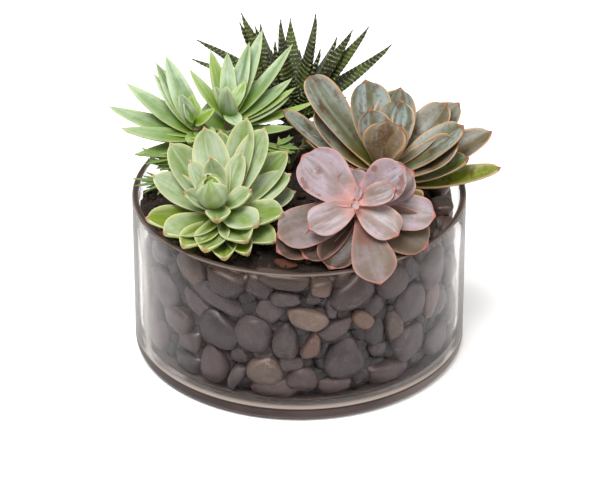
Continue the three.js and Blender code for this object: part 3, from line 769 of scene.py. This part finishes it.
def leaf_skin(name, face, shade, old, back, foot, edge, tip, bloom, fresh, edge_width=0.3,
              foot_reach=0.4, tip_reach=0.8, bloom_share=0.75, dull=(92, 72, 52),
              scar=(120, 78, 48), mottle=0.3, freckle=0.12, rust=0.08, foot_age=0.4, halo=0.25,
              scatter=(0.7, 1.0, 0.35)):
    """Screen colours, widths in millimetres, reaches along the leaf, and strengths up to 1."""
    made = Finish(name)
    (along, across, top, age, tone, rim, from_tip, dulled, scarred, stem,
     freshness) = map(made.mark, MARKS)
    blotches, grain, specks = made.cloud(70), made.cloud(700), made.cloud(320, 4)
    stains = made.cloud(130, 5, roughness=0.6)
    lines = made.cloud(1, 4, made.vector(across * 3.2, along * 1.5, tone * 30))
    drift = blotches - 0.5
    centre = made.between(1 - abs(across), 0.2, 0.95)
    wax = made.between(lines, 0.4, 0.7) * made.between(along, 0.15, 0.6) * (1 - age * 0.8)
    line = 1 - made.between(rim + grain * 0.4, edge_width * 0.6, edge_width * 1.6)
    at_tip = 1 - made.between(from_tip + grain, tip_reach * 0.5, tip_reach * 1.5)
    bruise = made.between(scarred + drift * 2 + (grain - 0.5) * 1.2, 0.35, 0.9)
    colour = made.layers(
        face,
        (shade, made.between(blotches + tone * 0.3 + centre * 0.25, 0.5, 1.0)),
        (old, made.between(age + drift * mottle * 2, 0.4, 0.9)),
        (back, (1 - top) * 0.7),
        (fresh, made.between(freshness + drift * 0.4, 0.1, 0.9)),
        (bloom, wax * bloom_share),
        # Partly painted shade: on the green, grey and blue plants the foot colour is darkened where
        # the leaves crowd.
        (foot, 1 - made.between(along, 0.05, age * foot_age + foot_reach)),
        (dull, dulled * (0.7 + 0.6 * lines)),
        (dull, made.between(specks, 0.52, 0.68) * freckle),
        (scar, made.between(stains, 0.53, 0.66) * rust),
        (edge, (1 - made.between(rim + drift * 2, 0.0, 3.2)) * halo),
        (edge, line * (0.4 + 0.55 * made.between(lines, 0.35, 0.6))),
        (tip, at_tip * 0.9), (scar, bruise * 0.8), (STALK_COLOUR, stem))
    height = blotches + lines * 0.2 * top + grain * 0.15
    return made.skin(colour, 0.38 + (grain - 0.5) * 0.3, 0.32, height, 0.0006, {
        "Subsurface Weight": 0.12, "Subsurface Scale": 0.003, "Subsurface Radius": scatter})


# %% [markdown]
# ## The green echeveria
# A pale mint rosette at the front left, with cream edges and small red tips. Its oldest leaves lie
# flat and turn yellow-green; that deeper green is also painted shade on the low leaves in front.
# Its heart is an egg of young leaves that still wrap round each other.

# %% Its leaves
# Base is where a rosette leaves its stalk, and rise the height of its heart. A leaf is its turn,
# pitch, length and width, and then its curl and roll where they aren't the usual ones. In a form,
# neck is the foot's share of the width, peak the place of the widest point, and a low point makes a
# blunt tip. Notes give single leaves marks or a form of their own, or sink them.
GREEN = dict(
    base=(-45, -38, 101), lean=(24, -105), rise=15, stem=5.5,
    form=dict(neck=0.33, peak=0.68, point=0.5, thick=4.4, taper=0.4, cup=0.42, spike=2, curl=20),
    # Leaves 1, 2, 8, 9 and 14 are marked younger so that the deeper old colour, partly painted
    # shade, stays off them where light falls.
    notes=dict.fromkeys((1, 2, 8, 9, 14), {"age": 0.35}),
    leaves=[
        (62, 2, 40, 18, 14), (115, 4, 40, 18, 14), (89, 22, 55, 18, 18), (-168, 24, 48, 20, 18),
        (-123, 29, 45, 18, 12), (-87, 20, 42, 17, 18), (-67, 18, 42, 15, 18), (-42, 15, 44, 18, 18),
        (18, 0, 45, 18, 18), (40, 14, 54, 20, 18), (-144, 26, 44, 21), (-104, 23, 40, 20),
        (-64, 23, 38, 20), (-20, 20, 42, 20), (126, 24, 52, 21), (69, 27, 58, 18),
        (152, 17, 46, 20), (26, 5, 46, 20), (-43, 21, 32, 19), (56, 22, 55, 20), (99, 28, 50, 22),
        (123, 28, 34, 13), (64, 25, 35, 14), (170, 34, 24, 12), (12, 26, 21, 13), (99, 50, 30, 14),
        (-97, 26, 17, 15, 16),
    ])


# %% The wrapped heart
def wrapped(centre, size, turn, spread, low, high, layer, marks):
    """One young leaf wrapped on an egg, `layer` millimetres proud of it."""
    rows, columns = 16, 17
    t = np.linspace(0, 1, rows)[:, None]
    x = np.linspace(-1, 1, columns)[None, :]
    swell = np.sin(np.pi * np.clip(0.28 + 0.72 * t, 0, 1)) ** 0.55
    a = np.radians(turn + x * spread * swell)
    b = np.radians(low + (high - low) * t + 0 * x) - 0.12 * np.abs(x) ** 2 * t
    way = np.stack([np.cos(b) * np.cos(a), np.cos(b) * np.sin(a), np.sin(b) + 0 * a], -1)
    proud = layer + 0.5 * np.clip(1 - x * x, 0, 1) * (1 - t)
    outer = way * (np.array(size) / 2 + proud[..., None]) + centre
    inner = way * (np.array(size) / 2 + proud[..., None] - 0.9) + centre
    points = np.concatenate([outer.reshape(-1, 3), inner.reshape(-1, 3)])
    faces, sheet = [], rows * columns
    for start in range(0, sheet - columns, columns):
        for k in range(start, start + columns - 1):
            faces.append([k, k + 1, k + columns + 1, k + columns])
            faces.append([sheet + v for v in (k, k + columns, k + columns + 1, k + 1)])
    border = [*range(columns - 1), *range(columns - 1, sheet - columns, columns)]
    border += [sheet - 1 - k for k in border]
    for k, following in zip(border, border[1:] + border[:1]):
        faces.append([k, sheet + k, sheet + following, following])
    both = lambda values: np.tile(np.broadcast_to(values, (rows, columns)).ravel(), 2)
    return points, faces, {
        **marks, "along": both(0.35 + 0.65 * t), "across": both(x),
        "top": np.repeat([0.8, 0.2], sheet),
        "edge": both((1 - np.abs(x)) * np.radians(spread) * swell * size[0] / 2),
        "tip": both(3 + (1 - t) * size[2] * 0.8)}


# %% Build it
# Its foot colour is partly painted shade.
green_skin = leaf_skin(
    "green_leaf_skin", face=(190, 206, 168), shade=(134, 160, 78), old=(126, 148, 8),
    back=(156, 174, 50), foot=(88, 122, 0), edge=(228, 230, 172), tip=(180, 118, 88),
    bloom=(208, 220, 202), fresh=(124, 150, 14), edge_width=0.5, foot_reach=0.55, bloom_share=0.7,
    halo=0.6)
green, green_place = rosette(GREEN, 3), standing(GREEN)
EGG, EGG_SIZE = np.array([-4, 3, 27]), (17, 16, 25)
core = stone(np.array(EGG_SIZE) * 0.94, 5, SMALL_BALL, 0)
core_marks = {"along": 0.5, "top": 0.8, "age": 0.1, "tone": 0.5, "edge": 9, "tip": 20, "fresh": 0.6}
green.add(core + EGG, SMALL_BALL[1], core_marks, green_place)
for number, (turn, spread, low, high, layer) in enumerate((
        (165, 95, -60, 89, 0.3), (45, 95, -60, 89, 0.6), (-82, 92, -65, 80, 1.1))):
    marks = {"age": 0.2, "tone": 0.2 + 0.3 * number}
    green.add(*wrapped(EGG, EGG_SIZE, turn, spread, low, high, layer, marks), green_place)
green.finish("green_echeveria_leaves", green_skin, "green_leaf", "green_echeveria")

# %% [markdown]
# ## The pink echeveria
# Broad, thin-edged leaves the colour of mother of pearl, rosy at the heart and framed in salmon.
# The lowest ones are old and bronze. Some carry brown scars where they were once wet or bruised.

# %% Its leaves
PINK = dict(
    base=(34, -50, 115), lean=(38, -90), rise=16, stem=5,
    form=dict(neck=0.24, peak=0.73, point=0.35, thick=3.6, taper=0.35, cup=0.26, spike=2,
              ripple=0.5, curl=12),
    notes={
        0: {"dull": 1}, 1: {"dull": 1}, 2: {"dull": 0.8}, 3: {"dull": 0.9}, 4: {"dull": 1},
        5: {"dull": 0.8, "fresh": 0.6}, 6: {"dull": 0.3, "fresh": 0.3}, 9: {"dull": 0.25},
        10: {"dull": 0.35, "sink": 6, "fresh": 0.2, "age": 0.8,
             "form": {"neck": 0.15, "peak": 0.77, "point": 0.5},
             "spots": [(0.4, 0.0, 8), (0.85, 0.5, 2), (0.9, -0.4, 2)]},
        11: {"spots": [(0.5, 0.82, 2), (0.6, 0.86, 2), (0.7, 0.84, 2.5), (0.8, 0.75, 2),
                       (0.88, 0.5, 2), (0.72, -0.1, 3)]},
        12: {"fresh": 0.25}, 13: {"fresh": 0.3}, 15: {"fresh": 0.35},
        14: {"spots": [(0.92, -0.3, 2), (0.86, -0.62, 2.5), (0.75, -0.8, 2), (0.9, 0.3, 2),
                       (0.6, 0.8, 2)]},
    },
    leaves=[
        (72, -16, 32, 22, 6), (122, -14, 34, 22, 6), (-150, 1, 53, 26), (-135, 1, 43, 22),
        (-113, -1, 40, 24, 8), (-31, 1, 47, 28, -4), (-158, 0, 49, 27), (-10, 7, 46, 24),
        (100, 10, 22, 20), (31, 5, 38, 26), (-76, 17, 57, 26, -2), (138, 8, 42, 31),
        (-149, 5, 32, 21), (-43, 9, 32, 22), (31, 22, 34, 26), (12, 24, 24, 15), (80, 30, 9, 5, 9),
        (-100, 20, 7, 4, 9),
    ])

# %% Build it
pink_skin = leaf_skin(
    "pink_leaf_skin", face=(171, 152, 157), shade=(142, 120, 118), old=(138, 122, 112),
    back=(164, 134, 128), foot=(206, 142, 134), edge=(224, 160, 146), tip=(184, 108, 94),
    bloom=(202, 194, 206), fresh=(158, 146, 96), edge_width=0.4, foot_reach=0.34, dull=(68, 48, 32),
    scar=(132, 92, 80), mottle=0.8, freckle=0.16, rust=0.2, foot_age=0.25, scatter=(1.0, 0.55, 0.5))
rosette(PINK, 5).finish("pink_echeveria_leaves", pink_skin, "pink_leaf", "pink_echeveria")

# %% [markdown]
# ## The grey echeveria
# A slate-coloured rosette with a bluish heart. Every leaf has a tan line along its edge and a brown
# tip, and the outer ones are long and lean to olive.

# %% Its leaves
GREY = dict(
    base=(50, 2, 102), lean=(8, -60), rise=16, stem=6,
    form=dict(neck=0.3, peak=0.74, point=0.42, thick=4.2, taper=0.4, cup=0.36, spike=2,
              ripple=0.6, curl=16),
    notes={
        2: {"dull": 0.5}, 4: {"dull": 0.6}, 5: {"dull": 0.6}, 6: {"fresh": 0.85}, 7: {"age": 0.3},
        8: {"dull": 0.9}, 9: {"fresh": 0.6}, 10: {"dull": 0.4}, 11: {"dull": 0.35},
        12: {"dull": 0.5, "spots": [(0.7, 0.2, 5), (0.55, -0.2, 4)]}, 13: {"dull": 0.25},
        14: {"spots": [(0.6, 0.0, 3)]},
        15: {"spots": [(0.75, 0.3, 3)], "form": {"peak": 0.8, "point": 0.36, "spike": 0.5}},
        17: {"dull": 0.3, "spots": [(0.6, 0.2, 3)]}, 21: {"dull": 0.2},
        20: {"dull": 0.4, "spots": [(0.8, 0.1, 6), (0.65, -0.4, 4), (0.6, 0.5, 4), (0.45, 0.1, 4),
                                    (0.85, -0.3, 4)]},
        22: {"dull": 0.6, "spots": [(0.8, 0, 3)]},
    },
    leaves=[
        (88, 8, 48, 20, 12), (55, 8, 50, 20, 12), (122, 8, 46, 20, 12), (-52, 10, 34, 20, 12),
        (-92, 12, 36, 22, 12), (-135, 12, 36, 20, 12), (-4, 15, 71.5, 15, 16, 10),
        (152, 19, 73, 15, 11), (156, 14, 53, 13, 11), (-1, 21, 53, 19, 16, 10),
        (18, 19, 71, 22, 16, 8), (145, 26, 57, 24, 14, -8), (2, 31, 50, 26, 16, 15),
        (39, 28, 64, 24, 16, 5), (10, 35, 56, 24, 16, 8), (139, 31, 74, 24, 14, -5),
        (78, 41, 52, 26), (40, 32, 56, 24, 16, 5), (109, 42, 55, 27), (74, 41, 43, 24),
        (-88, 104, 30, 28, 34), (113, 43, 35, 22), (-150, 108, 28, 20, 34),
    ])

# %% Build it
# Its foot colour is partly painted shade.
grey_skin = leaf_skin(
    "grey_leaf_skin", face=(156, 163, 148), shade=(104, 102, 68), old=(106, 102, 56),
    back=(126, 106, 64), foot=(92, 96, 20), edge=(214, 174, 134), tip=(138, 90, 62),
    bloom=(180, 200, 204), fresh=(128, 140, 24), edge_width=1.15, tip_reach=1.1, dull=(112, 80, 44),
    scar=(88, 58, 32), mottle=0.9, freckle=0.45, rust=0.6, scatter=(0.9, 0.8, 0.5))
rosette(GREY, 7).finish("grey_echeveria_leaves", grey_skin, "grey_leaf", "grey_echeveria")

# %% [markdown]
# ## The blue succulents
# Two tufts of narrow, pointed leaves, vivid yellow-green at the foot under a bluish wax, which
# thins out where the leaves rub on each other. A few small low leaves hide the stalks, as the photo
# shows none.

# %% Their leaves
BLUE_FORM = dict(neck=0.5, peak=0.5, point=0.85, thick=4, taper=0.5, cup=0.2, spike=1, curl=14)
BRIGHT = {"fresh": 0.75}
BLUE_LEFT = dict(
    base=(-61, 28, 121), lean=(20, -120), rise=16, stem=4, form=BLUE_FORM, slim=0.86,
    notes={**dict.fromkeys((4, 7, 8, 12, 13), BRIGHT), 14: {"sink": 5}},
    leaves=[
        (150, -4, 30, 12, 10), (112, -4, 34, 13, 10), (76, 2, 30, 12, 10), (-175, 24, 48, 14),
        (-84, 40, 18, 11), (162, 17, 57, 15), (145, 25, 53, 15), (-104, 24, 18, 11),
        (-46, 22, 20, 12), (127, 32, 43, 12), (120, 33, 47, 13), (110, 35, 47, 16),
        (93, 32, 19, 12), (10, 30, 16, 11, 12), (125, 66, 25, 12, 10), (150, 75, 15, 9),
    ],
    low=[(-30, -6, 26, 9, 10), (20, -2, 24, 9, 10), (-140, 4, 34, 9, 12), (-165, 8, 40, 10, 12)])
BLUE_RIGHT = dict(
    base=(-43, 36, 124), lean=(14, -90), rise=18, stem=4, form=BLUE_FORM, slim=0.8,
    notes={**dict.fromkeys((3, 5, 8, 10, 14), BRIGHT), 16: {"sink": 8}},
    leaves=[
        (105, -6, 34, 13, 10), (74, -4, 36, 13, 10), (44, -2, 32, 12, 10), (16, 6, 57, 9),
        (22, 11, 40, 14), (25, 14, 46, 11), (32, 16, 47, 13), (45, 26, 61, 12), (133, 25, 39, 11),
        (65, 34, 58, 14), (109, 34, 42, 13), (71, 35, 46, 14), (92, 38, 37, 13), (-70, 14, 20, 13),
        (57, 28, 21, 11), (160, 60, 18, 10), (-112, 86, 27, 16, 18),
    ],
    low=[(-145, -4, 26, 9, 10), (-60, -8, 24, 9, 10), (172, 26, 24, 12, 10), (0, 2, 40, 9, 12),
         (-125, 16, 22, 11, 10)])

# %% Build them
# Its foot colour is partly painted shade.
blue_skin = leaf_skin(
    "blue_leaf_skin", face=(188, 212, 168), shade=(104, 138, 66), old=(160, 184, 132),
    back=(168, 190, 132), foot=(96, 134, 0), edge=(226, 236, 172), tip=(156, 152, 96),
    bloom=(208, 226, 216), fresh=(140, 172, 30), foot_reach=0.6, bloom_share=0.8, mottle=0.6)
rosette(BLUE_LEFT, 11).finish("blue_leaves_left", blue_skin, "blue_leaf", "blue_succulent_left")
rosette(BLUE_RIGHT, 13).finish("blue_leaves_right", blue_skin, "blue_leaf", "blue_succulent_right")

# %% [markdown]
# ## The zebra haworthia
# Stiff dark triangles with white bars of raised dots, and small teeth along the edge. Bars and
# teeth are in the mesh, a bar every 2.8 mm, and the finish colours them from the same measure.

# %% Its leaves
ZEBRA = dict(
    base=(-4, 72, 112), lean=(8, 90), rise=10, stem=6,
    form=dict(neck=1, peak=0.4, point=1.1, thick=6, taper=0.75, cup=0.1, spike=1, curl=8),
    leaves=[
        (62, 10, 42, 15), (92, 6, 40, 15), (122, 10, 42, 15), (-160, 24, 30, 14), (-24, 26, 40, 15),
        (-62, 50, 34, 14), (-118, 48, 36, 14), (-90, 66, 36, 14), (151, 28, 78, 15, -14),
        (158, 21, 73, 14, -10), (20, 29, 75, 19), (28, 41, 71, 17), (139, 52, 69, 17),
        (142, 49, 64, 16), (32, 45, 62, 17), (176, 70, 58, 22), (4, 59, 53, 16), (18, 76, 61, 16),
        (132, 51, 56, 16), (93, 57, 56, 14), (148, 81, 55, 14), (-2, 65, 40, 15), (178, 75, 42, 15),
        (78, 52, 35, 14),
    ])

# %% Bars and teeth
BAR = 2.8


def barred(t, from_tip, x, tone):
    wave = np.sin(2 * np.pi * from_tip / BAR)
    ends = np.clip(t / 0.1, 0, 1) * np.clip(from_tip / 6, 0, 1)
    uneven = 0.6 + 0.4 * np.sin(9 * x + 40 * tone)
    return 0.05 * wave * ends, 0.35 * np.clip(wave, 0, 1) * ends * uneven


# %% Zebra finish
zebra = Finish("zebra_leaf_skin")
along, across, top, tone, from_tip, stem = map(
    zebra.mark, "along across top tone tip stem".split())
blotches, grain = zebra.cloud(90), zebra.cloud(800)
broken = zebra.cloud(1, 1, zebra.vector(across * 7, from_tip / BAR, tone * 30))
wobble = from_tip + (broken - 0.5) * 0.8 + abs(across) * 0.9
stripes = (wobble * (2 * pi / BAR)).wave()
bars = zebra.between(stripes, 0.35, 0.85) * zebra.between(broken, 0.42, 0.55)
colour = zebra.layers(
    (40, 50, 12),
    ((84, 98, 28), zebra.between(blotches, 0.4, 0.7)),
    ((104, 128, 48), (1 - zebra.between(along, 0.0, 0.35)) * 0.6),
    ((178, 184, 138), bars * (0.95 - 0.2 * top)),
    ((70, 62, 34), 1 - zebra.between(from_tip, 1.0, 4.0)), (STALK_COLOUR, stem))
zebra_skin = zebra.skin(colour, 0.55 + (grain - 0.5) * 0.3, 0.25, grain * 0.4 + bars, 0.0003)
rosette(ZEBRA, 17, 90, barred).finish("zebra_leaves", zebra_skin, "zebra_leaf", "zebra_haworthia")

# %% [markdown]
# ## The sedum
# Two loose sprigs of needle-like leaves fill the spaces, one over the rim at the left and one in
# the middle. Their leaves sit along the shoots. Each row of a shoot makes three of them, fanned
# out.

# %% Shoots
SEDUM_FORM = dict(neck=0.5, peak=0.5, point=0.8, thick=1.4, taper=0.4, cup=0.1, spike=0.5)
RIM_SPRIG = dict(base=(-74, 12), stem=1.4, shoots=[
    ((-80, 10, 119), [(-172, 8, 20, 3.4), (168, 22, 18, 3.4), (-150, 20, 15, 3), (120, 30, 15, 3)]),
    ((-84, 6, 104), [(180, 6, 17, 3), (-160, 2, 18, 3), (-140, -4, 17, 3), (150, 10, 16, 3)]),
])
MIDDLE_SPRIG = dict(base=(-6, 24), stem=2, shoots=[
    ((4, 28, 119), [(60, 50, 6, 3), (-50, 30, 6, 3), (170, 40, 6, 3)]),
    ((-13, 22, 121), [(30, 10, 11, 5), (-20, 0, 13, 5), (-60, 8, 13, 5), (160, 10, 13, 5),
                      (-140, 0, 14, 5), (-90, -10, 12, 5), (65, 40, 12, 4), (110, 35, 12, 4)]),
])


def sprig(plant, seed):
    """A tuft of thin shoots, given by their tops. They part at an elbow over the soil."""
    grown, draw = Heap(*MARKS), drawing(seed)
    x, y = plant["base"]
    foot = np.array([x, y, soil_top(x, y) - 9])
    elbow = foot + (0, 0, 12)
    for top, leaves in plant["shoots"]:
        grown.add(*stalk([foot, elbow, top], plant["stem"], 10))
        for number, (turn, pitch, length, width) in enumerate(leaves):
            for extra in (0, 24, -26):
                share = 1 - 0.6 * number / len(leaves) - abs(extra) / 250
                root = elbow + (np.array(top) - elbow) * share
                row = (turn + extra, pitch - abs(extra) / 8, length * (1 - abs(extra) / 120), width)
                marks = {"age": number / len(leaves), "tone": next(draw), "fresh": next(draw)}
                grown.add(*leaf(root, row, SEDUM_FORM, 12, plain, marks))
    return grown


# %% Build them
sedum_skin = leaf_skin(
    "sedum_leaf_skin", face=(122, 150, 84), shade=(104, 134, 76), old=(140, 150, 92),
    back=(126, 146, 80), foot=(140, 164, 78), edge=(140, 164, 98), tip=(160, 150, 100),
    bloom=(150, 174, 130), fresh=(120, 150, 50), bloom_share=0.4)
rim_sprig, middle_sprig = sprig(RIM_SPRIG, 23), sprig(MIDDLE_SPRIG, 29)
rim_sprig.finish("sedum_leaves_rim", sedum_skin, "sedum_leaf", "sedum_sprig_rim")
middle_sprig.finish("sedum_leaves_middle", sedum_skin, "sedum_leaf", "sedum_sprig_middle")
